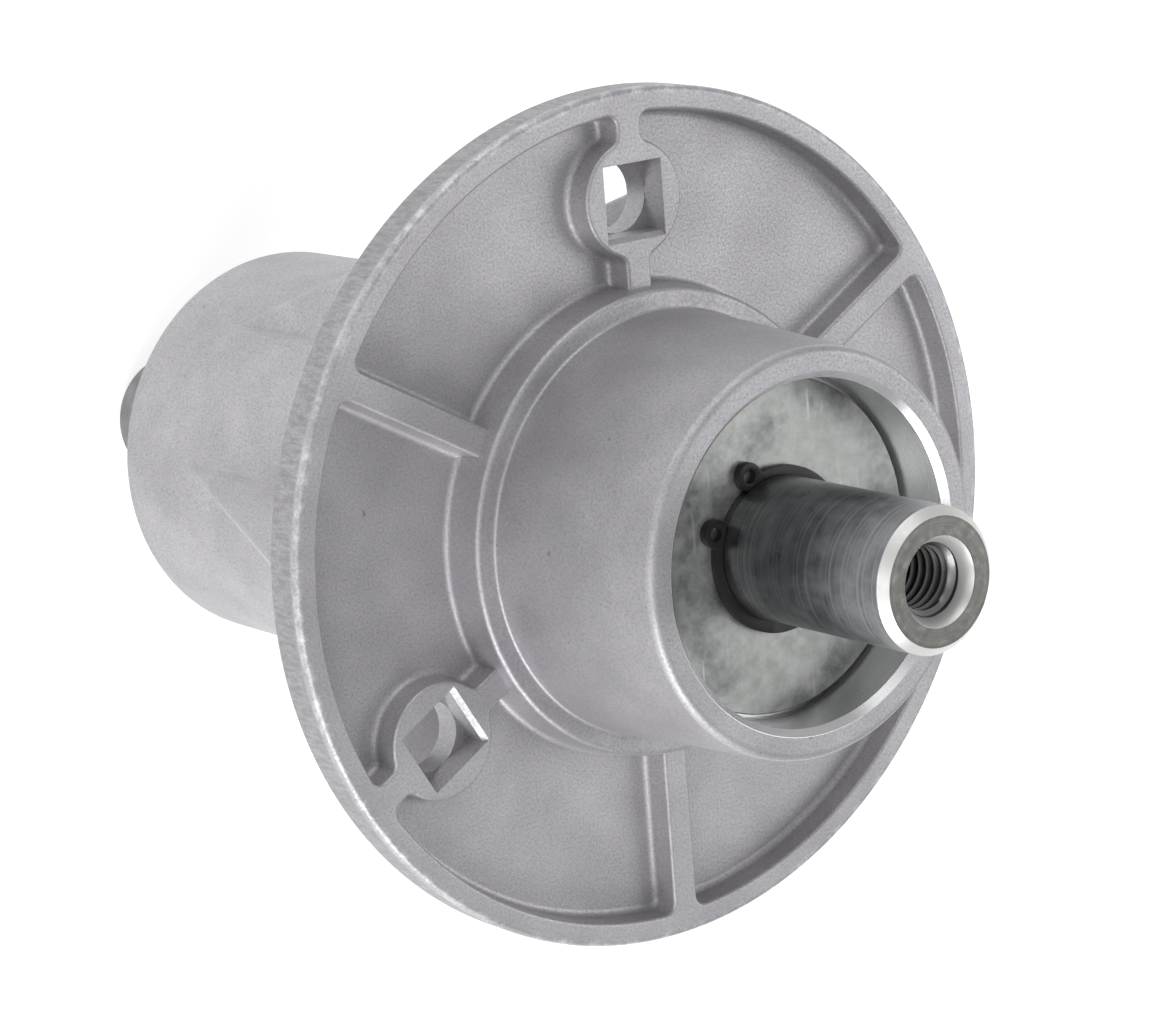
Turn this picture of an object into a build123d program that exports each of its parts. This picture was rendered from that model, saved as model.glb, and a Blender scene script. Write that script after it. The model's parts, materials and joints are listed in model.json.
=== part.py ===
from build123d import *
from math import cos, radians, sin, sqrt, tan
import os

os.makedirs("parts", exist_ok=True)

# Mower blade spindle, in millimetres. The spindle axis is Z. The origin is on that axis, in the plane of
# the flange's ribbed face, which bolts against the deck. +Z points out of the hub with the short shaft end.

# Shaft
shaft_dia = 20.0
front_stub = 24.7           # how far the shaft stands out of the hub
rear_stub = 36.0            # how far it stands out of the tube
shaft_chamfer = 1.2
tap_drill_dia = 8.5         # tapping drill of an M10 thread
tap_depth = 28.0
centre_dia = 12.2           # mouth of the 60 degree centre in each end
drill_point_angle = 118.0
centre_angle = 60.0

# Ball bearings, 20 x 47 x 14
bearing_od = 47.0
bearing_width = 14.0
ball_dia = 7.938
ball_count = 8
race_clearance = 0.06       # between a ball and the bottom of each race
race_conformity = 0.52      # race radius as a share of the ball's diameter
race_depth = 1.6            # from the bottom of a race to the land beside it
ring_chamfer = 0.8
seal_seat_step = 1.1        # how far the seal's seat is cut into the outer ring
seal_recess = 0.3           # seal face below the ring face
seal_thickness = 1.3
seal_lip_gap = 0.3
cage_sheet = 0.7
cage_side_gap = 0.58        # between the cage and the land of each ring
pocket_clearance = 0.12
rivet_dia = 1.2
rivet_head_dia = 2.2
rivet_head_height = 0.5

# Housing casting
hub_length = 34.0
hub_wall = 4.4              # at the mouth
hub_taper = 2.1             # radius gained from the mouth to the ribs' height
hub_edge_radius = 1.3
tube_length = 94.5
tube_wall = 6.2             # at the end
tube_taper = 0.5            # radius gained from the end to the flange
tube_edge_radius = 1.0
shoulder_height = 3.1       # of the step that stops each outer ring
recess_side_clearance = 0.5  # recess radius over bearing radius
mouth_chamfer = 1.0

# Flange, with its radial widths from the hub outwards
root_ring_width = 3.0       # ring round the foot of the hub, where it meets the ribs
root_ring_height = 2.3      # of that ring above the ribs
root_ring_edge_radius = 0.8
hub_foot_radius = 0.5       # in the corner between the hub and the ring
spoke_length = 4.2          # from the ring to a bolt boss
boss_dia = 16.6
rim_gap = 3.7               # from a bolt boss to the rim
rim_width = 3.4
rim_thickness = 6.0
rim_edge_radius = 0.9
pocket_depth = 4.2
web_thickness = 3.0
back_bevel = 1.2            # slope from the rim's edge to the back of the web
tube_root_radius = 1.0
rib_width = 4.1
rib_count = 3
pocket_draft = 4.0
pocket_corner_radius = 1.6
pocket_floor_radius = 1.0
pocket_mouth_radius = 0.5

# Bolt holes in the bosses, on a circle 92 across
bolt_hole_dia = 10.2
neck_side = 10.2            # square socket for the neck of an M10 carriage bolt
neck_depth = 4.2
socket_lip = 0.9            # sloped edge on the hub side of each socket
nut_pad_dia = 20.0
nut_pad_height = 1.0
boss_angle = 90.0           # direction of the first boss

# Gussets on the back, two beside each bolt
gusset_spread = 37.4        # across the outer faces of a pair
gusset_thickness = 3.5
gusset_flange_reach = 47.8  # from the axis to the tip at the flange, along the boss direction
gusset_end_gap = 17.5       # from the tube's end to where the slope runs out on the tube

# Dust shields and circlips
shield_thickness = 1.0
shield_side_clearance = 0.6
shield_depth = 8.6          # outer face of the shield below the hub or tube mouth
shield_collar_height = 1.0
shield_collar_dia = 26.0
sleeve_dia = 26.0
clip_thickness = 1.2
clip_groove_clearance = 0.1  # groove wider than the ring
clip_groove_depth = 0.5
clip_back_width = 2.6
clip_end_width = 1.6
clip_lug_dia = 3.9
clip_lug_circle_dia = 23.2
clip_eye_dia = 2.0
clip_lug_angle = 23.5       # from the middle of the opening to each eye
clip_opening_angle = 136.0

# Places along the axis
hub_face_z = hub_length
tube_end_z = -tube_length
front_shield_z = hub_face_z - shield_depth
rear_shield_z = tube_end_z + shield_depth
shield_stack = shield_thickness + shield_collar_height
front_bearing_z = front_shield_z - shield_stack - bearing_width / 2
rear_bearing_z = rear_shield_z + shield_stack + bearing_width / 2
front_end_z = hub_face_z + front_stub
rear_end_z = tube_end_z - rear_stub

# Sizes that follow from those above
shaft_r = shaft_dia / 2
groove_r = shaft_r - clip_groove_depth
groove_width = clip_thickness + clip_groove_clearance
bearing_span = bearing_width / 2
seat_r = bearing_od / 2
cavity_r = seat_r - shoulder_height
recess_r = seat_r + recess_side_clearance
hub_face_r = recess_r + hub_wall
hub_root_r = hub_face_r + hub_taper
ball_r = ball_dia / 2
pitch_r = (shaft_r + seat_r) / 2
inner_land_r = pitch_r - ball_r - race_clearance + race_depth
outer_land_r = pitch_r + ball_r + race_clearance - race_depth
ring_r = hub_root_r + root_ring_width
wall_lean = tan(radians(pocket_draft))
bolt_r = ring_r + spoke_length + boss_dia / 2
pocket_outer_r = bolt_r + boss_dia / 2 + rim_gap
flange_r = pocket_outer_r + rim_width
web_back_z = -(pocket_depth + web_thickness)
tube_end_r = recess_r + tube_wall
tube_root_r = tube_end_r + tube_taper
ring_foot_z = -pocket_depth - web_thickness / 2
hole_slope = tan(radians(centre_angle / 2))
boss_spacing = 360 / rib_count
near = 0.01                 # tolerance for finding an edge or face by its height


def save(block, name):
    """Label a finished piece and write it to its file."""
    block.part.label = name
    export_step(block.part, f"parts/{name}.step")


# Housing: hub, flange and tube in one revolved section, then pockets, bosses and gussets
with BuildPart() as housing:
    with BuildSketch(Plane.XZ) as section:
        with BuildLine():
            Polyline(
                (recess_r + mouth_chamfer, hub_face_z),
                (hub_face_r, hub_face_z),
                (hub_root_r, 0),
                (flange_r, 0),
                (flange_r, -rim_thickness),
                (flange_r - back_bevel, web_back_z),
                (tube_root_r, web_back_z),
                (tube_end_r, tube_end_z),
                (recess_r + mouth_chamfer, tube_end_z),
                (recess_r, tube_end_z + mouth_chamfer),
                (recess_r, rear_bearing_z - bearing_span),
                (seat_r, rear_bearing_z - bearing_span),
                (seat_r, rear_bearing_z + bearing_span),
                (cavity_r, rear_bearing_z + bearing_span),
                (cavity_r, front_bearing_z - bearing_span),
                (seat_r, front_bearing_z - bearing_span),
                (seat_r, front_bearing_z + bearing_span),
                (recess_r, front_bearing_z + bearing_span),
                (recess_r, hub_face_z - mouth_chamfer),
                close=True,
            )
        make_face()
        for corner, radius in (
            ((hub_face_r, hub_face_z), hub_edge_radius),
            ((flange_r, 0), rim_edge_radius),
            ((tube_root_r, web_back_z), tube_root_radius),
            ((tube_end_r, tube_end_z), tube_edge_radius),
        ):
            fillet(section.vertices().sort_by_distance(corner)[0], radius)
    revolve(axis=Axis.Z)

    # Pockets in the ribbed face, between plain ribs and ribs that carry the bolt bosses; they run in to the
    # middle of the ring round the foot of the hub, which then closes them
    with BuildSketch(Plane.XY) as pockets:
        Circle(pocket_outer_r)
        Circle(ring_r - root_ring_width / 2, mode=Mode.SUBTRACT)
        with PolarLocations(flange_r / 2, 2 * rib_count, start_angle=boss_angle):
            Rectangle(flange_r, rib_width, mode=Mode.SUBTRACT)
        with PolarLocations(bolt_r, rib_count, start_angle=boss_angle):
            Circle(boss_dia / 2, mode=Mode.SUBTRACT)
        outer_corners = [corner for corner in pockets.vertices() if Vector(*corner).length > ring_r]
        fillet(outer_corners, pocket_corner_radius)
    extrude(amount=pocket_depth, dir=(0, 0, -1), taper=pocket_draft, mode=Mode.SUBTRACT)
    ribbed_face = housing.faces().filter_by(Plane.XY).filter_by_position(Axis.Z, -near, near)[0]
    mouths = [wire for wire in ribbed_face.inner_wires() if wire.center().length > ring_r / 2]
    mouth_edges = [edge for wire in mouths for edge in wire.edges() if (edge @ 0.5).length > ring_r]
    fillet(mouth_edges, pocket_mouth_radius)

    # Ring round the foot of the hub: one plain wall from the pockets' floor to its top, above the ribs
    top_corner = (ring_r - root_ring_height * wall_lean, root_ring_height)
    with BuildSketch(Plane.XZ) as ring_section:
        with BuildLine():
            Polyline(
                (recess_r + hub_wall / 2, ring_foot_z),
                (ring_r - ring_foot_z * wall_lean, ring_foot_z),
                top_corner,
                (recess_r + hub_wall / 2, root_ring_height),
                close=True,
            )
        make_face()
        fillet(ring_section.vertices().sort_by_distance(top_corner)[0], root_ring_edge_radius)
    revolve(axis=Axis.Z)
    top_edges = housing.edges().filter_by_position(Axis.Z, root_ring_height - near, root_ring_height + near)
    fillet(top_edges.sort_by(SortBy.RADIUS)[0], hub_foot_radius)
    floor_edges = housing.edges().filter_by_position(Axis.Z, -pocket_depth - near, near - pocket_depth)
    fillet(floor_edges, pocket_floor_radius)

    # Round pads for the nuts, on the back of the web
    with BuildSketch(Plane.XY.offset(web_back_z - nut_pad_height)):
        with PolarLocations(bolt_r, rib_count, start_angle=boss_angle):
            Circle(nut_pad_dia / 2)
    extrude(amount=nut_pad_height + web_thickness / 2)

    # Gussets: triangular plates in pairs, parallel to the line from the axis to the bolt between them
    outer_face = gusset_spread / 2
    plate_middle = outer_face - gusset_thickness / 2
    tube_wall_middle = tube_end_r - tube_wall / 2
    foot_x = sqrt(tube_wall_middle**2 - outer_face**2)
    runout_x = sqrt(tube_end_r**2 - outer_face**2)
    runout_z = tube_end_z + gusset_end_gap
    slope = (gusset_flange_reach - runout_x) / (web_back_z - runout_z)
    foot_z = runout_z - (runout_x - foot_x) / slope
    for copy in range(rib_count):
        turned = Plane.XZ.rotated((0, 0, boss_angle + copy * boss_spacing))
        for side in (-1, 1):
            with BuildSketch(turned.offset(side * plate_middle)):
                with BuildLine():
                    Polyline(
                        (foot_x, web_back_z + web_thickness / 2),
                        (gusset_flange_reach, web_back_z + web_thickness / 2),
                        (gusset_flange_reach, web_back_z),
                        (foot_x, foot_z),
                        close=True,
                    )
                make_face()
            extrude(amount=gusset_thickness / 2, both=True)

    # Bolt holes, with a square socket in each boss for the neck of the bolt
    with BuildSketch(Plane.XY):
        with PolarLocations(bolt_r, rib_count, start_angle=boss_angle):
            Rectangle(neck_side, neck_side)
    extrude(amount=-neck_depth, mode=Mode.SUBTRACT)
    for copy in range(rib_count):
        lip_x = bolt_r - neck_side / 2
        with BuildSketch(Plane.XZ.rotated((0, 0, boss_angle + copy * boss_spacing))):
            with BuildLine():
                Polyline((lip_x - socket_lip, 0), (lip_x, 0), (lip_x, -socket_lip), close=True)
            make_face()
        extrude(amount=neck_side / 2, both=True, mode=Mode.SUBTRACT)
    with BuildSketch(Plane.XY.offset(web_back_z - nut_pad_height)):
        with PolarLocations(bolt_r, rib_count, start_angle=boss_angle):
            Circle(bolt_hole_dia / 2)
    extrude(amount=nut_pad_height - web_back_z, mode=Mode.SUBTRACT)
save(housing, "housing")

# Shaft: one turned bar with a groove for each circlip and a tapped hole with a centre in each end
with BuildPart() as shaft:
    centre_r = centre_dia / 2
    drill_r = tap_drill_dia / 2
    centre_depth = (centre_r - drill_r) / hole_slope
    point_depth = drill_r / tan(radians(drill_point_angle / 2))
    with BuildSketch(Plane.XZ):
        with BuildLine():
            Polyline(
                (0, front_end_z - tap_depth - point_depth),
                (drill_r, front_end_z - tap_depth),
                (drill_r, front_end_z - centre_depth),
                (centre_r, front_end_z),
                (shaft_r - shaft_chamfer, front_end_z),
                (shaft_r, front_end_z - shaft_chamfer),
                (shaft_r, front_shield_z + groove_width),
                (groove_r, front_shield_z + groove_width),
                (groove_r, front_shield_z),
                (shaft_r, front_shield_z),
                (shaft_r, rear_shield_z),
                (groove_r, rear_shield_z),
                (groove_r, rear_shield_z - groove_width),
                (shaft_r, rear_shield_z - groove_width),
                (shaft_r, rear_end_z + shaft_chamfer),
                (shaft_r - shaft_chamfer, rear_end_z),
                (centre_r, rear_end_z),
                (drill_r, rear_end_z + centre_depth),
                (drill_r, rear_end_z + tap_depth),
                (0, rear_end_z + tap_depth + point_depth),
                close=True,
            )
        make_face()
    revolve(axis=Axis.Z)
save(shaft, "shaft")

# Spacer sleeve between the inner rings
with BuildPart() as spacer_sleeve:
    sleeve_length = front_bearing_z - rear_bearing_z - bearing_width
    with BuildSketch(Plane.XY.offset(rear_bearing_z + bearing_span)):
        Circle(sleeve_dia / 2)
        Circle(shaft_r, mode=Mode.SUBTRACT)
    extrude(amount=sleeve_length)
save(spacer_sleeve, "spacer_sleeve")


def make_bearing(end, middle_z):
    """Make one sealed ball bearing of eight nodes, centred on middle_z."""
    middle = Plane.XY.offset(middle_z)
    race_r = race_conformity * ball_dia
    inner_race_x = pitch_r - ball_r - race_clearance + race_r
    outer_race_x = pitch_r + ball_r + race_clearance - race_r
    seal_r = outer_land_r + seal_seat_step
    seal_face = bearing_span - seal_recess
    seal_back = seal_face - seal_thickness
    section_plane = Plane(origin=(0, 0, middle_z), x_dir=(1, 0, 0), z_dir=(0, -1, 0))

    with BuildPart() as outer_ring:
        with BuildSketch(section_plane):
            with BuildLine():
                Polyline(
                    (outer_land_r, -seal_back),
                    (seal_r, -seal_back),
                    (seal_r, -bearing_span),
                    (seat_r - ring_chamfer, -bearing_span),
                    (seat_r, ring_chamfer - bearing_span),
                    (seat_r, bearing_span - ring_chamfer),
                    (seat_r - ring_chamfer, bearing_span),
                    (seal_r, bearing_span),
                    (seal_r, seal_back),
                    (outer_land_r, seal_back),
                    close=True,
                )
            make_face()
            with Locations((outer_race_x, 0)):
                Circle(race_r, mode=Mode.SUBTRACT)
        revolve(axis=Axis.Z)
    save(outer_ring, f"{end}_outer_ring")

    with BuildPart() as inner_ring:
        with BuildSketch(section_plane):
            with BuildLine():
                Polyline(
                    (shaft_r, ring_chamfer - bearing_span),
                    (shaft_r + ring_chamfer, -bearing_span),
                    (inner_land_r, -bearing_span),
                    (inner_land_r, bearing_span),
                    (shaft_r + ring_chamfer, bearing_span),
                    (shaft_r, bearing_span - ring_chamfer),
                    close=True,
                )
            make_face()
            with Locations((inner_race_x, 0)):
                Circle(race_r, mode=Mode.SUBTRACT)
        revolve(axis=Axis.Z)
    save(inner_ring, f"{end}_inner_ring")

    with BuildPart(middle) as balls:
        with PolarLocations(pitch_r, ball_count):
            Sphere(ball_r)
    save(balls, f"{end}_balls")

    # The cage is two pressed rings with half a pocket round each ball, riveted between the balls
    pocket_r = ball_r + pocket_clearance
    dome_r = pocket_r + cage_sheet
    cage_outer_r = outer_land_r - cage_side_gap
    cage_inner_r = inner_land_r + cage_side_gap
    half_step = 180 / ball_count
    for name, side in (("upper", 1), ("lower", -1)):
        with BuildPart(middle) as cage_half:
            with PolarLocations(pitch_r, ball_count):
                Sphere(dome_r)
            with BuildSketch(middle):
                Circle(cage_outer_r)
                Circle(cage_inner_r, mode=Mode.SUBTRACT)
            extrude(amount=side * (dome_r + cage_sheet), mode=Mode.INTERSECT)
            with BuildSketch(middle):
                Circle(cage_outer_r)
                Circle(cage_inner_r, mode=Mode.SUBTRACT)
            extrude(amount=side * cage_sheet)
            with PolarLocations(pitch_r, ball_count):
                Sphere(pocket_r, mode=Mode.SUBTRACT)
            with PolarLocations(pitch_r, ball_count, start_angle=half_step):
                Cylinder(rivet_dia / 2, 4 * cage_sheet, mode=Mode.SUBTRACT)
        save(cage_half, f"{end}_cage_{name}_half")

    with BuildPart(middle) as rivets:
        with PolarLocations(pitch_r, ball_count, start_angle=half_step):
            Cylinder(rivet_dia / 2, 2 * (cage_sheet + rivet_head_height))
        for side in (-1, 1):
            with BuildSketch(middle.offset(side * cage_sheet)):
                with PolarLocations(pitch_r, ball_count, start_angle=half_step):
                    Circle(rivet_head_dia / 2)
            extrude(amount=side * rivet_head_height)
    save(rivets, f"{end}_cage_rivets")

    for name, side in (("upper", 1), ("lower", -1)):
        with BuildPart() as seal:
            with BuildSketch(middle.offset(side * seal_back)):
                Circle(seal_r)
                Circle(inner_land_r + seal_lip_gap, mode=Mode.SUBTRACT)
            extrude(amount=side * seal_thickness)
        save(seal, f"{end}_{name}_seal")


make_bearing("front", front_bearing_z)
make_bearing("rear", rear_bearing_z)


def make_shield(end, outer_z, outward):
    """Make a dust shield: a flat disc with a collar that bears on the bearing's inner ring."""
    with BuildPart() as shield:
        with BuildSketch(Plane.XY.offset(outer_z)):
            Circle(recess_r - shield_side_clearance)
            Circle(shaft_r, mode=Mode.SUBTRACT)
        extrude(amount=-outward * shield_thickness)
        with BuildSketch(Plane.XY.offset(outer_z - outward * shield_thickness)):
            Circle(shield_collar_dia / 2)
            Circle(shaft_r, mode=Mode.SUBTRACT)
        extrude(amount=-outward * shield_collar_height)
    save(shield, f"{end}_dust_shield")


def make_circlip(end, inner_z, outward):
    """Make an external retaining ring, widest opposite its opening, with an eye at each end."""
    with BuildPart() as circlip:
        with BuildSketch(Plane.XY.offset(inner_z)):
            outer_r = groove_r + (clip_back_width + clip_end_width) / 2
            offset_r = (clip_back_width - clip_end_width) / 2
            with PolarLocations(offset_r, 1, start_angle=clip_opening_angle + 180):
                Circle(outer_r)
            with BuildLine():
                reach = 2 * outer_r
                first = radians(clip_opening_angle - clip_lug_angle)
                last = radians(clip_opening_angle + clip_lug_angle)
                Polyline(
                    (0, 0),
                    (reach * cos(first), reach * sin(first)),
                    (reach * cos(last), reach * sin(last)),
                    close=True,
                )
            make_face(mode=Mode.SUBTRACT)
            for angle in (clip_opening_angle - clip_lug_angle, clip_opening_angle + clip_lug_angle):
                with PolarLocations(clip_lug_circle_dia / 2, 1, start_angle=angle):
                    Circle(clip_lug_dia / 2)
                    Circle(clip_eye_dia / 2, mode=Mode.SUBTRACT)
            Circle(groove_r, mode=Mode.SUBTRACT)
        extrude(amount=outward * clip_thickness)
    save(circlip, f"{end}_circlip")


for end, z, outward in (("front", front_shield_z, 1), ("rear", rear_shield_z, -1)):
    make_shield(end, z, outward)
    make_circlip(end, z, outward)
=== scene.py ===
"""Looks of a mower blade spindle: a ribbed aluminium housing with a steel shaft on sealed ball bearings."""

import json
import logging
import math
from dataclasses import dataclass, field
from enum import Enum
from typing import Iterable, Optional, Sequence

import bmesh
import bpy
from mathutils import Matrix, Vector


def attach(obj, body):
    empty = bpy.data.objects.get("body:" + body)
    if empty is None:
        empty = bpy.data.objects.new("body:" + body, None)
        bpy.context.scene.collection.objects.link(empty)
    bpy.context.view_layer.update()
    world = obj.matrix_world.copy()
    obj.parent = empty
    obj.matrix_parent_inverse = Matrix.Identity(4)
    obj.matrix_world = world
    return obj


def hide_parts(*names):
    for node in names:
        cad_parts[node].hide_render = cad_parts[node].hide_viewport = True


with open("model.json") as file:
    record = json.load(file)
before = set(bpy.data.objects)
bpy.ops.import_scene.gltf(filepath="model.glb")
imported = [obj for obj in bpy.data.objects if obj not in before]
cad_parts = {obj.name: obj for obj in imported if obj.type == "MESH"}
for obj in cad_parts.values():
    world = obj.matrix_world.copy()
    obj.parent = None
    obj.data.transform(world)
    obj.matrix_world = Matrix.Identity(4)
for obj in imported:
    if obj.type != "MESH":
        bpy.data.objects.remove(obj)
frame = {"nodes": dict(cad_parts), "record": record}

MM = 0.001
FULL_TURN = 2 * math.pi
SAME_LEVEL = 1e-4  # millimetres between heights that count as one
SAME_LINE = 1e-3  # millimetres off a line or a circle that count as on it
SAME_COSINE = 1e-5
COATED_IOR = 1.45
WHITE = (1.0, 1.0, 1.0, 1.0)

Point = tuple[float, float]
Colour = tuple[float, float, float, float]
Triple = tuple[float, float, float]
Socket = bpy.types.NodeSocket
Material = bpy.types.Material
Item = bpy.types.Object
Vert = bmesh.types.BMVert
Edge = bmesh.types.BMEdge
Face = bmesh.types.BMFace

log = logging.getLogger("spindle")


class Slot(Enum):
    """Material slots of the record."""

    CASTING = "housing_casting"
    SHAFT = "shaft_steel"
    SLEEVE = "sleeve_steel"
    ZINC = "zinc_plate"
    BLACK = "black_spring_steel"
    BEARING = "bearing_steel"
    BALL = "ball_steel"
    CAGE = "cage_steel"
    SEAL = "seal_rubber"


class End(Enum):
    """The two ends of the spindle; the value is the direction along Z that points out of it."""

    FRONT = 1
    REAR = -1


def on_circle(radius: float, angle: float, centre: Point = (0.0, 0.0)) -> Point:
    """Point of a circle at an angle in radians, counted from +X towards +Y."""
    return centre[0] + radius * math.cos(angle), centre[1] + radius * math.sin(angle)


def angle_of(place: Sequence[float], centre: Point = (0.0, 0.0)) -> float:
    """Angle in radians at which a place is seen from a centre."""
    return math.atan2(place[1] - centre[1], place[0] - centre[0])


def directions(angle: float) -> tuple[Vector, Vector]:
    """The unit vector at an angle in radians, and the one to its left."""
    along = Vector(on_circle(1.0, angle))
    return along, Vector((-along.y, along.x))


def arc(centre: Point, radius: float, start: float, stop: float, step: float) -> list[Point]:
    """Points along an arc between two angles in radians, both included, at most one step apart."""
    count = max(2, math.ceil(abs(stop - start) / step) + 1)
    return [on_circle(radius, start + (stop - start) * i / (count - 1), centre) for i in range(count)]


def put_in_scene(name: str, data: bpy.types.ID) -> Item:
    """Make an object of a mesh, a lamp or a camera, and link it to the scene.

    Args:
        name: Name of the object.
        data: Its mesh, lamp or camera.

    Returns:
        The object.
    """
    item = bpy.data.objects.new(name, data)
    bpy.context.scene.collection.objects.link(item)
    return item


def full_circle(centre: Point, radius: float, step: float) -> list[Point]:
    """Points round a circle, at most one step apart."""
    return arc(centre, radius, 0.0, FULL_TURN, step)[:-1]


def rounded(points: Sequence[Point], radii: dict[int, float], segments: int = 5) -> list[Point]:
    """Round some corners of an open chain of points.

    Args:
        points: The chain's points.
        radii: Radius by index of the corner in points.
        segments: Straight pieces in each rounded corner.

    Returns:
        The chain with those corners replaced by arcs.
    """
    chain: list[Point] = []
    for index, point in enumerate(points):
        radius = radii.get(index, 0.0)
        if radius <= 0 or index in (0, len(points) - 1):
            chain.append(point)
            continue
        corner = Vector(point)
        before = (Vector(points[index - 1]) - corner).normalized()
        after = (Vector(points[index + 1]) - corner).normalized()
        half = before.angle(after) / 2
        reach = radius / math.tan(half)
        middle = corner + (before + after).normalized() * (radius / math.sin(half))
        first = corner + before * reach - middle
        last = corner + after * reach - middle
        sweep = first.angle_signed(last)
        for i in range(segments + 1):
            turned = Matrix.Rotation(-sweep * i / segments, 2) @ first
            chain.append((middle.x + turned.x, middle.y + turned.y))
    return chain


@dataclass(frozen=True)
class Straight:
    """A straight side of an outline, with the outline's inside on its left."""

    point: Point
    heading: float

    def corner(self, circle: "Round", radius: float, near: Point) -> tuple[Point, Point, Point]:
        """Fillet between this side and a round one.

        Args:
            circle: The round side.
            radius: Fillet radius.
            near: A point close to the corner.

        Returns:
            The fillet's centre, its end on this side and its end on the round side.
        """
        along, left = directions(self.heading)
        start = Vector(self.point) + left * radius - Vector(circle.centre)
        reach = circle.radius - circle.turn * radius
        middle = start - along * start.dot(along)
        half = math.sqrt(reach ** 2 - middle.length_squared)
        centres = [Vector(circle.centre) + middle + along * side * half for side in (-1, 1)]
        centre = min(centres, key=lambda candidate: (candidate - Vector(near)).length)
        outward = (centre - Vector(circle.centre)).normalized()
        on_line = centre - left * radius
        on_round = Vector(circle.centre) + outward * circle.radius
        return tuple(centre), tuple(on_line), tuple(on_round)


@dataclass(frozen=True)
class Round:
    """A round side of an outline. turn is 1 where it runs anticlockwise and -1 where it runs clockwise."""

    centre: Point
    radius: float
    turn: int

    def run(self, first: Point, last: Point, step: float) -> list[Point]:
        """Points along this side from first to last, both left out.

        Args:
            first: Where the side starts.
            last: Where it stops.
            step: Largest angle between neighbours, in radians.

        Returns:
            The points between.
        """
        start = angle_of(first, self.centre)
        sweep = (angle_of(last, self.centre) - start) % FULL_TURN
        if self.turn < 0:
            sweep -= FULL_TURN
        return arc(self.centre, self.radius, start, start + sweep, step)[1:-1]


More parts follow.
